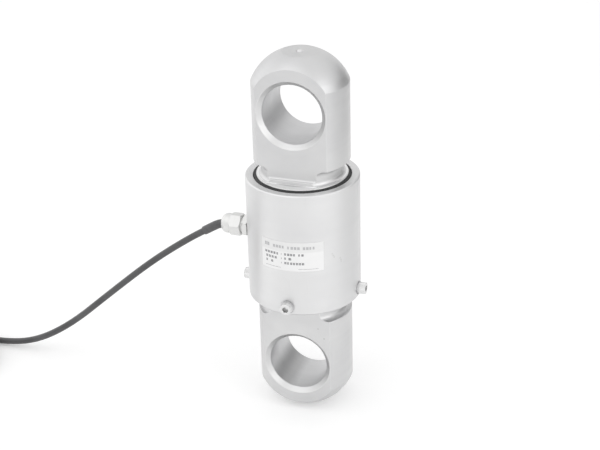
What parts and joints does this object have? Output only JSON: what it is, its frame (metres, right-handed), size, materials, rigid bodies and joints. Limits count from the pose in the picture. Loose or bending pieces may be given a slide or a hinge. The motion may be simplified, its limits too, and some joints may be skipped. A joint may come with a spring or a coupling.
{
  "type": "weighing load cell",
  "caption": "Tension load cell: a domed steel bar with a pin eye at each end, a cylindrical sleeve round its gauged waist, and a signal cable from a side gland.",
  "frame": {"origin": "middle of the flat end of the lower eye, on which the cell stands", "axes": "+Z along the pull from the lower pin to the upper pin, Y along both pins with the plate facing -Y, the cable gland faces -X"},
  "size_m": [0.3782, 0.1619, 0.2755],
  "materials": {
    "bar_steel": "turned and milled, satin",
    "sleeve_steel": "fine turned, satin",
    "screw_steel": "stainless, knurled head",
    "washer_steel": "spring steel",
    "nickel_brass": "nickel plated",
    "black_rubber": "matt",
    "grey_insert": "matt",
    "cage_plastic": "moulded",
    "plate_foil": "satin foil, bare",
    "cable_jacket": "smooth, slightly glossy",
    "shrink_sleeve": "matt",
    "tie_plastic": "moulded",
    "core_red": "smooth",
    "core_black": "smooth",
    "core_green": "smooth",
    "core_white": "smooth",
    "shield_braid": "tinned strands",
    "inner_core": "smooth",
    "gauge_film": "foil on polyimide",
    "gauge_cover": "poured silicone",
    "board": "glass fibre board",
    "resistor": "chip",
    "loom_wire": "laced wires"
  },
  "bodies": {
    "root": {"load_body": "bar_steel", "protective_sleeve": "sleeve_steel", "upper_seal_ring": "black_rubber", "lower_o_ring": "black_rubber", "sleeve_screws": "screw_steel", "spring_washers": "washer_steel", "rating_plate": "plate_foil", "gland_body": "nickel_brass", "gland_seal": "black_rubber", "gland_cage": "cage_plastic", "gland_insert": "grey_insert", "gland_dome_nut": "nickel_brass", "terminal_board": "board", "trim_resistors": "resistor", "bridge_loom": "loom_wire", "cable_inner_end": "cable_jacket", "inner_cores": "inner_core", "cable": "cable_jacket", "cable_boot": "shrink_sleeve", "cable_coil": "cable_jacket", "coil_ties": "tie_plastic", "cable_tail": "cable_jacket", "cable_end_sleeve": "shrink_sleeve", "lead_red": "core_red", "lead_black": "core_black", "lead_green": "core_green", "lead_white": "core_white", "lead_shield": "shield_braid", "front_gauge": "gauge_film", "front_gauge_cover": "gauge_cover", "rear_gauge": "gauge_film", "rear_gauge_cover": "gauge_cover", "left_gauge": "gauge_film", "left_gauge_cover": "gauge_cover", "right_gauge": "gauge_film", "right_gauge_cover": "gauge_cover"}
  },
  "joints": []
}
